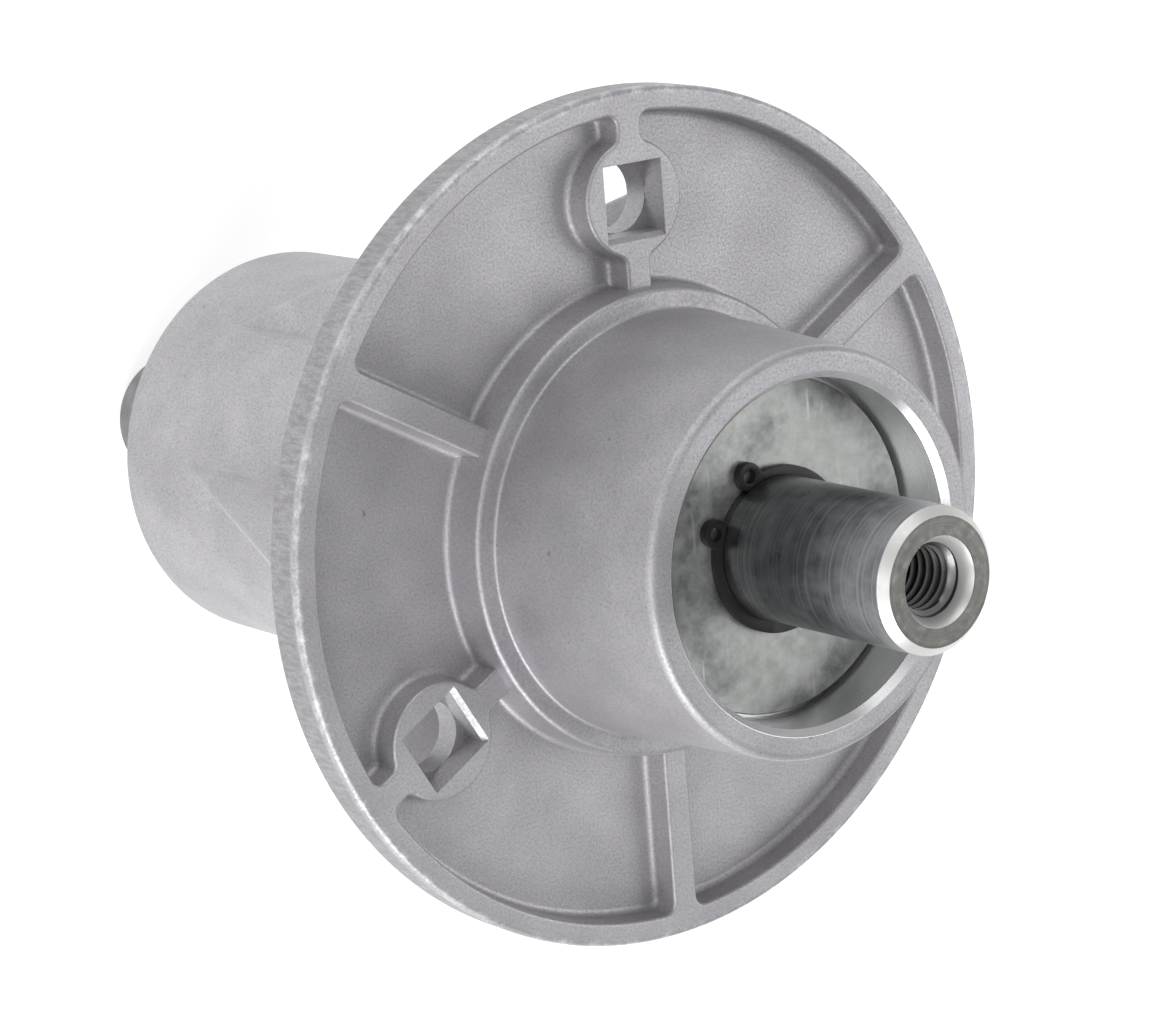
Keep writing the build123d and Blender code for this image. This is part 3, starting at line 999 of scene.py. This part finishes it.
    def raise_ring(self, mould: Mould) -> None:
        """Raise the ring round the hub's foot out of the pockets' walls and the ends of the ribs.

        Args:
            mould: Mesh of the housing, with its pockets.
        """
        foot = [vert for vert in mould.bm.verts
                if abs(vert.co.z) < SAME_LEVEL and abs(vert.co.xy.length - self.ring_r) < SAME_LINE]
        foot.sort(key=lambda vert: angle_of(vert.co))
        edges = []
        for first, last in zip(foot, foot[1:] + foot[:1]):
            side = mould.bm.edges.get((first, last))
            edges += [side] if side else self.across_rib(mould, first, last)
        top_r = self.ring_r - self.ring_height * math.tan(math.radians(self.pocket_draft))
        inner_r = top_r - 2 * self.ring_edge
        corners = [(self.ring_r, 0.0), (top_r, self.ring_height), (inner_r, self.ring_height)]
        for radius, height in rounded(corners, {1: self.ring_edge}, self.edge_segments)[1:]:
            verts, edges = mould.draw_out(edges)
            for vert in verts:
                outward = vert.co.xy.normalized() * radius
                vert.co = (outward.x, outward.y, height)
        mould.fill(mould.open_edges(self.ring_height))

    def across_rib(self, mould: Mould, first: Vert, last: Vert, pieces: int = 6) -> list[Edge]:
        """Join two vertices by an arc along the foot of the ring, across the end of a rib.

        Args:
            mould: Mesh of the housing.
            first: Where the arc starts.
            last: Where it ends, anticlockwise from first.
            pieces: Number of edges.

        Returns:
            The edges.
        """
        start = angle_of(first.co)
        sweep = (angle_of(last.co) - start) % FULL_TURN
        places = [on_circle(self.ring_r, start + sweep * i / pieces) for i in range(1, pieces)]
        verts = [first, *(mould.bm.verts.new((x, y, 0.0)) for x, y in places), last]
        return [mould.bm.edges.new(pair) for pair in zip(verts, verts[1:])]

    def inset(self, mould: Mould, face: Face, inward: float, down: float) -> None:
        """Shrink a face by inward on all sides, and sink it by down."""
        bmesh.ops.inset_region(mould.bm, faces=[face], use_boundary=True, use_even_offset=True,
                               thickness=inward, depth=-down)

    def add_socket(self, mould: Mould, turn: float) -> None:
        """Sink one square socket and its bolt hole, with the nut's pad on the back.

        Args:
            mould: Mesh of the housing.
            turn: Direction of the boss in radians.
        """
        half = self.neck_side / 2
        low, middle, high = self.bolt_r - half, self.bolt_r, self.bolt_r + half
        lip = low - self.neck_lip
        centre = (middle, 0.0)
        part = Mould()
        face = part.sheet([(high, 0.0), (high, half), (middle, half), (lip, half), (lip, 0.0), (lip, -half),
                           (middle, -half), (high, -half)], 0.0)
        for level, slope in ((-self.neck_lip, self.neck_lip), (-self.neck_depth, 0.0)):
            face = bmesh.ops.extrude_discrete_faces(part.bm, faces=[face])["faces"][0]
            hub_side = sorted(face.verts, key=lambda vert: vert.co.x)[:3]
            bmesh.ops.translate(part.bm, vec=(slope, 0, 0), verts=hub_side)
            for vert in face.verts:
                vert.co.z = level
        bmesh.ops.delete(part.bm, geom=[face], context="FACES_ONLY")
        hole_r = self.hole_r - self.hole_clear
        hole = part.loop(full_circle(centre, hole_r, self.hole_step), -self.neck_depth)
        part.fill_sectors(part.open_edges(-self.neck_depth), centre, 0.0, 4)
        pad_z = self.back_z - self.pad_height
        for vert in part.draw_out(hole)[0]:
            vert.co.z = pad_z
        pad = part.loop(full_circle(centre, self.pad_r, self.hole_step), self.back_z)
        for level, radius in ((pad_z + self.pad_edge, self.pad_r), (pad_z, self.pad_r - self.pad_edge)):
            verts, pad = part.draw_out(pad)
            for vert in verts:
                outward = (vert.co.xy - Vector(centre)).normalized() * radius
                vert.co = (middle + outward.x, outward.y, level)
        part.fill(part.open_edges(pad_z))
        mould.join(part, turn)

    def add_gusset(self, mould: Mould, turn: float, side: int) -> None:
        """Add one of the two plates beside a bolt.

        Args:
            mould: Mesh of the housing.
            turn: Direction of the bolt in radians.
            side: -1 or 1 for the plate's side of the bolt.
        """
        outer = self.gusset_spread / 2
        inner = outer - self.gusset_thickness
        middle_r = (self.recess_r + self.tube_end_r) / 2
        foot_x = math.sqrt(middle_r ** 2 - outer ** 2)
        runout_x = math.sqrt(self.tube_end_r ** 2 - outer ** 2)
        runout_z = -self.tube_length + self.gusset_end_gap
        slope = (self.gusset_reach - runout_x) / (self.back_z - runout_z)
        foot_z = runout_z - (runout_x - foot_x) / slope
        sunk_z = self.back_z + self.gusset_sink
        corners = [(foot_x, sunk_z), (self.gusset_reach, sunk_z), (self.gusset_reach, self.back_z),
                   (foot_x, foot_z)]
        plate = Mould()
        plate.bm.faces.new([plate.bm.verts.new((x, side * inner, z)) for x, z in corners])
        plate.thicken((0, side * self.gusset_thickness, 0))
        free = [edge for edge in plate.bm.edges if self.on_slope(edge, sunk_z)]
        bmesh.ops.bevel(plate.bm, geom=free, offset=self.gusset_edge, offset_type="OFFSET", segments=4,
                        profile=0.5, affect="EDGES", material=-1)
        plate.weld()
        mould.join(plate, turn)

    def on_slope(self, edge: Edge, sunk_z: float) -> bool:
        """Whether an edge of a gusset runs along its sloping face.

        Args:
            edge: The edge.
            sunk_z: Height of the gusset's top, inside the flange.

        Returns:
            True for an edge of the sloping face.
        """
        low = min(edge.verts, key=lambda vert: vert.co.z).co
        high = max(edge.verts, key=lambda vert: vert.co.z).co
        return high.z - low.z > 1.0 and low.x < high.x and high.z < sunk_z

    def machined_faces(self, mould: Mould) -> list[Face]:
        """Faces of the bores and their mouths, which a lathe has cut."""
        limit = self.recess_r + self.mouth_chamfer + self.cut_margin
        return [face for face in mould.bm.faces if face.calc_center_median().xy.length < limit]


@dataclass
class Shaft:
    """The shaft, with a centre and a tapped hole in each end. Sizes in millimetres."""

    finishes: Finishes
    radius: float = 10.0
    tip: dict[End, float] = field(default_factory=lambda: {End.FRONT: 58.7, End.REAR: -130.5})
    groove: dict[End, float] = field(default_factory=lambda: {End.FRONT: 25.4, End.REAR: -85.9})
    chamfer: float = 1.2
    groove_r: float = 9.5
    groove_width: float = 1.3
    centre_r: float = 6.1
    drill_r: float = 4.25
    thread_r: float = 5.0
    pitch: float = 1.5
    thread_depth: float = 22.5
    tap_depth: float = 28.0
    centre_slope: float = math.tan(math.radians(30))
    point_slope: float = math.tan(math.radians(31))
    root_share: float = 0.44
    crest_share: float = 0.14
    thread_runout: float = 1.0
    thread_set_in: float = 0.3
    thread_sink: float = 0.05
    cone_sink: float = 0.02
    end_normal: float = 0.95
    edge: float = 0.12
    turn_steps: int = 128
    thread_steps: int = 48

    def build(self) -> Item:
        """Build the shaft.

        Returns:
            The finished piece, riding on the shaft body.
        """
        mould = Mould()
        mould.turn(self.profile(), self.turn_steps)
        mould.weld()
        for face in mould.bm.faces:
            face.material_index = self.finish_of(face)
        for end in End:
            self.add_thread(mould, end)
        finishes = [self.finishes.shaft, self.finishes.faced, self.finishes.thread, self.finishes.chamfered]
        piece = mould.piece("turned_shaft", finishes)
        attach(piece, "shaft")
        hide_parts("shaft")
        return piece

    def half_profile(self, end: End) -> list[Point]:
        """Profile of one end, from the bottom of its hole to its circlip groove.

        Args:
            end: Which end.

        Returns:
            Radius and height of each point.
        """
        tip, groove, out = self.tip[end], self.groove[end], end.value
        point_depth = self.drill_r * self.point_slope
        cone_depth = (self.centre_r - self.thread_r) / self.centre_slope
        points = [
            (0.0, tip - out * (self.tap_depth + point_depth)),
            (self.drill_r, tip - out * self.tap_depth),
            (self.drill_r, tip - out * (self.thread_depth + self.thread_runout)),
            (self.thread_r, tip - out * self.thread_depth),
            (self.thread_r, tip - out * cone_depth),
            (self.centre_r, tip),
            (self.radius - self.chamfer, tip),
            (self.radius, tip - out * self.chamfer),
            (self.radius, groove + out * self.groove_width),
            (self.groove_r, groove + out * self.groove_width),
            (self.groove_r, groove),
            (self.radius, groove),
        ]
        return rounded(points, {5: self.edge, 6: self.edge, 7: 2 * self.edge, 8: self.edge, 11: 0.0}, 3)

    def profile(self) -> list[Point]:
        """Profile of the whole shaft."""
        return self.half_profile(End.FRONT) + list(reversed(self.half_profile(End.REAR)))

    def finish_of(self, face: Face) -> int:
        """Index of a face's finish.

        Args:
            face: The face.

        Returns:
            0 outside, 1 on the ends, 2 in the holes, 3 on chamfers and centres.
        """
        middle = face.calc_center_median()
        radius = middle.xy.length
        if radius < self.thread_r + self.thread_sink:
            return 2
        past_chamfer = any(end.value * (self.tip[end] - middle.z) < self.chamfer for end in End)
        if radius > self.centre_r and abs(face.normal.z) > self.end_normal:
            return 1
        return 3 if past_chamfer or radius < self.centre_r else 0

    def add_thread(self, mould: Mould, end: End) -> None:
        """Add the ridge of the thread in one end.

        Args:
            mould: Mesh of the shaft.
            end: Which end.
        """
        tip, out = self.tip[end], end.value
        root, crest = self.root_share * self.pitch, self.crest_share * self.pitch
        start = tip - out * self.thread_depth
        sunk_r = self.thread_r + self.thread_sink
        section = [(sunk_r, root), (self.drill_r, crest), (self.drill_r, -crest), (sunk_r, -root)]
        ridge = Mould()
        verts = [ridge.bm.verts.new((radius, 0.0, start + height)) for radius, height in section]
        face = ridge.bm.faces.new(verts)
        turns = (self.thread_depth - (self.centre_r - self.thread_r) / self.centre_slope) / self.pitch
        steps = round(turns * self.thread_steps)
        climb = self.pitch / self.thread_steps
        bmesh.ops.spin(ridge.bm, geom=[face, *face.edges, *face.verts], axis=(0, 0, 1), cent=(0, 0, 0),
                       dvec=(0, 0, out * climb), angle=out * steps * FULL_TURN / self.thread_steps,
                       steps=steps, use_merge=False, use_duplicate=False)
        for vert in ridge.bm.verts:
            depth = out * (tip - vert.co.z)
            cone_r = self.centre_r - max(depth, 0.0) * self.centre_slope + self.cone_sink
            radius = vert.co.xy.length
            if radius < cone_r:
                vert.co.x *= cone_r / radius
                vert.co.y *= cone_r / radius
            last_z = tip - out * self.thread_set_in
            vert.co.z = min(vert.co.z, last_z) if out > 0 else max(vert.co.z, last_z)
        ridge.weld()
        for part in ridge.bm.faces:
            part.material_index = 2
        mould.join(ridge)


@dataclass
class DustShield:
    """The plated disc in the mouth of a bore. Sizes in millimetres."""

    finishes: Finishes
    end: End
    outer_z: float
    outer_r: float = 23.4
    bore_r: float = 10.0
    collar_r: float = 13.0
    thickness: float = 1.0
    collar_height: float = 1.0
    edge: float = 0.25
    turn_steps: int = 160

    def build(self) -> Item:
        """Build the shield.

        Returns:
            The finished piece, riding on the shaft body.
        """
        out = self.end.value
        under = self.outer_z - out * self.thickness
        foot = under - out * self.collar_height
        points = [
            (self.bore_r, foot),
            (self.bore_r, self.outer_z),
            (self.outer_r, self.outer_z),
            (self.outer_r, under),
            (self.collar_r, under),
            (self.collar_r, foot),
            (self.bore_r, foot),
        ]
        mould = Mould()
        mould.turn(rounded(points, {2: self.edge, 3: self.edge}, 4), self.turn_steps)
        mould.weld()
        name = f"{self.end.name.lower()}_dust_shield"
        piece = mould.piece(f"{name}_disc", [self.finishes.zinc])
        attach(piece, "shaft")
        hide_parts(name)
        return piece


@dataclass
class Circlip:
    """An external retaining ring with an eye at each side of its opening. Sizes in millimetres."""

    finishes: Finishes
    end: End
    inner_z: float
    groove_r: float = 9.5
    thickness: float = 1.2
    back_width: float = 2.6
    end_width: float = 1.6
    lug_r: float = 1.95
    lug_circle_r: float = 11.6
    eye_r: float = 1.0
    lug_angle: float = math.radians(23.5)
    opening: float = math.radians(136)
    edge: float = 0.1
    step: float = math.radians(1.5)
    eye_step: float = math.radians(15)

    def build(self) -> Item:
        """Build the circlip.

        Returns:
            The finished piece, riding on the shaft body.
        """
        mould = Mould()
        edges = mould.loop(self.outline(), self.inner_z)
        for side in (-1, 1):
            centre = on_circle(self.lug_circle_r, self.opening + side * self.lug_angle)
            edges += mould.loop(full_circle(centre, self.eye_r, self.eye_step), self.inner_z)
        mould.fill(edges)
        mould.thicken((0, 0, self.end.value * self.thickness))
        mould.weld()
        mould.soften(self.edge)
        name = f"{self.end.name.lower()}_circlip"
        piece = mould.piece(f"{name}_ring", [self.finishes.black])
        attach(piece, "shaft")
        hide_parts(name)
        return piece

    def outline(self) -> list[Point]:
        """The ring's outline, without its eyes.

        Returns:
            The points, anticlockwise.
        """
        first = self.opening + self.lug_angle
        last = self.opening - self.lug_angle + FULL_TURN
        lugs = [on_circle(self.lug_circle_r, angle) for angle in (first, last)]
        count = math.ceil((last - first) / self.step)
        points = []
        for i in range(count + 1):
            angle = first + (last - first) * i / count
            reach = max(self.outer_radius(angle), *(self.lug_edge(angle, lug) for lug in lugs))
            points.append(on_circle(reach, angle))
        points += arc(lugs[1], self.lug_r, last, last + math.pi, self.eye_step)[1:]
        points += arc((0.0, 0.0), self.groove_r, last, first, self.step)[1:]
        points += arc(lugs[0], self.lug_r, first + math.pi, first + FULL_TURN, self.eye_step)[:-1]
        return points

    def outer_radius(self, angle: float) -> float:
        """Outer radius of the eccentric ring.

        Args:
            angle: Direction from the axis, in radians.

        Returns:
            The radius there.
        """
        offset = (self.back_width - self.end_width) / 2
        radius = self.groove_r + (self.back_width + self.end_width) / 2
        away = angle - self.opening - math.pi
        return offset * math.cos(away) + math.sqrt(radius ** 2 - (offset * math.sin(away)) ** 2)

    def lug_edge(self, angle: float, lug: Point) -> float:
        """Distance from the axis to the far edge of a lug.

        Args:
            angle: Direction from the axis, in radians.
            lug: Centre of the lug.

        Returns:
            The distance there, or 0 beside the lug.
        """
        along = directions(angle)[0].dot(Vector(lug))
        aside = self.lug_circle_r ** 2 - along ** 2
        if along < 0 or aside > self.lug_r ** 2:
            return 0.0
        return along + math.sqrt(self.lug_r ** 2 - aside)


@dataclass
class HiddenParts:
    """The bearings and the sleeve inside the housing, which keep their exact solids."""

    finishes: Finishes

    def dress(self) -> int:
        """Give each hidden node the finish of its slot.

        Returns:
            How many nodes were dressed.
        """
        slots = {row["node"]: row["material_slot"] for row in frame["record"]["subparts"]}
        count = 0
        for name, node in frame["nodes"].items():
            slot = Slot(slots[name])
            if slot in self.finishes.hidden:
                node.data.materials.clear()
                node.data.materials.append(self.finishes.hidden[slot])
                count += 1
        return count


@dataclass
class Studio:
    """Floor, lamps, world and camera. Distances in metres."""

    floor_z: float = -0.1310
    floor_size: float = 6.0
    floor_colour: Colour = (0.8, 0.8, 0.8, 1.0)
    floor_glow: float = 0.42
    world_level: float = 0.47
    white_level: float = 1.0
    lamps: tuple[tuple[str, Triple, float, float], ...] = (
        ("top", (-0.15, 1.1, 0.35), 0.9, 3.4),
        ("bottom", (-0.55, -0.85, 0.50), 0.7, 9.0),
        ("left", (-1.0, 0.05, 0.55), 0.7, 2.6),
        ("right", (0.85, 0.0, 0.75), 0.7, 3.0),
    )
    eye: Triple = (-0.3459, 0.1329, 0.4463)
    right: Triple = (0.7891, -0.0762, 0.6095)
    up: Triple = (0.1977, 0.9710, -0.1347)
    focal_pixels: float = 4105.0
    image_width: float = 1160.0
    sensor_width: float = 36.0
    near_clip: float = 0.01

    def build(self) -> None:
        """Make the floor, the world, the lamps and the camera."""
        self.make_floor()
        self.make_world()
        for name, place, size, power in self.lamps:
            self.make_lamp(name, place, size, power)
        self.make_camera()

    def make_floor(self) -> None:
        """Make a white floor that glows for the camera and keeps a soft shadow."""
        bm = bmesh.new()
        bmesh.ops.create_grid(bm, x_segments=1, y_segments=1, size=self.floor_size / 2)
        bmesh.ops.translate(bm, vec=(0, 0, self.floor_z), verts=bm.verts)
        mesh = bpy.data.meshes.new("floor")
        bm.to_mesh(mesh)
        bm.free()
        floor = put_in_scene("floor", mesh)
        material = bpy.data.materials.new("pale floor")
        tree = NodeTree(material)
        path = tree.add("LightPath")
        seen = tree.maths("MAXIMUM", path.outputs["Is Camera Ray"], path.outputs["Is Glossy Ray"])
        matte = tree.add("BsdfDiffuse", Color=self.floor_colour)
        glow = tree.add("Emission", Strength=tree.maths("MULTIPLY", seen, self.floor_glow))
        both = tree.add("AddShader")
        tree.put(both.inputs[0], matte.outputs[0])
        tree.put(both.inputs[1], glow.outputs[0])
        tree.add("OutputMaterial", Surface=both.outputs[0])
        mesh.materials.append(material)

    def make_world(self) -> None:
        """Make a plain world: a soft level on the object, white where the camera sees it."""
        world = bpy.data.worlds.new("studio")
        bpy.context.scene.world = world
        tree = NodeTree(world)
        choice = tree.add("MixShader", Fac=tree.add("LightPath").outputs["Is Camera Ray"])
        for index, level in ((1, self.world_level), (2, self.white_level)):
            background = tree.add("Background", Color=WHITE, Strength=level)
            tree.put(choice.inputs[index], background.outputs[0])
        tree.add("OutputWorld", Surface=choice.outputs[0])

    def make_lamp(self, name: str, place: Triple, size: float, power: float) -> None:
        """Make one square area lamp that points at the object.

        Args:
            name: Name of the lamp.
            place: Where it stands.
            size: Length of its side.
            power: Its power in watts.
        """
        data = bpy.data.lights.new(name, "AREA")
        data.size = size
        data.energy = power
        lamp = put_in_scene(name, data)
        lamp.location = place
        lamp.rotation_euler = (-Vector(place)).to_track_quat("-Z", "Y").to_euler()

    def make_camera(self) -> None:
        """Make the camera at the photo's viewing angle."""
        data = bpy.data.cameras.new("camera")
        data.sensor_width = self.sensor_width
        data.lens = self.focal_pixels / self.image_width * self.sensor_width
        data.clip_start = self.near_clip
        camera = put_in_scene("camera", data)
        right, up = Vector(self.right).normalized(), Vector(self.up)
        back = right.cross(up).normalized()
        up = back.cross(right)
        turned = Matrix((right, up, back)).transposed().to_4x4()
        camera.matrix_world = Matrix.Translation(self.eye) @ turned
        bpy.context.scene.camera = camera


def main() -> None:
    """Build and dress the whole spindle in its studio."""
    logging.basicConfig(level=logging.INFO, format="%(message)s")
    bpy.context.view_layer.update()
    finishes = Finishes()
    shaft = Shaft(finishes)
    pieces = [Housing(finishes).build(), shaft.build()]
    for end, height in shaft.groove.items():
        pieces.append(DustShield(finishes, end, height).build())
        pieces.append(Circlip(finishes, end, height).build())
    for piece in pieces:
        log.info("built %s with %d faces", piece.name, len(piece.data.polygons))
    log.info("dressed %d hidden nodes", HiddenParts(finishes).dress())
    Studio().build()
    bpy.context.scene.view_settings.view_transform = "Standard"


if __name__ == "__main__":
    main()
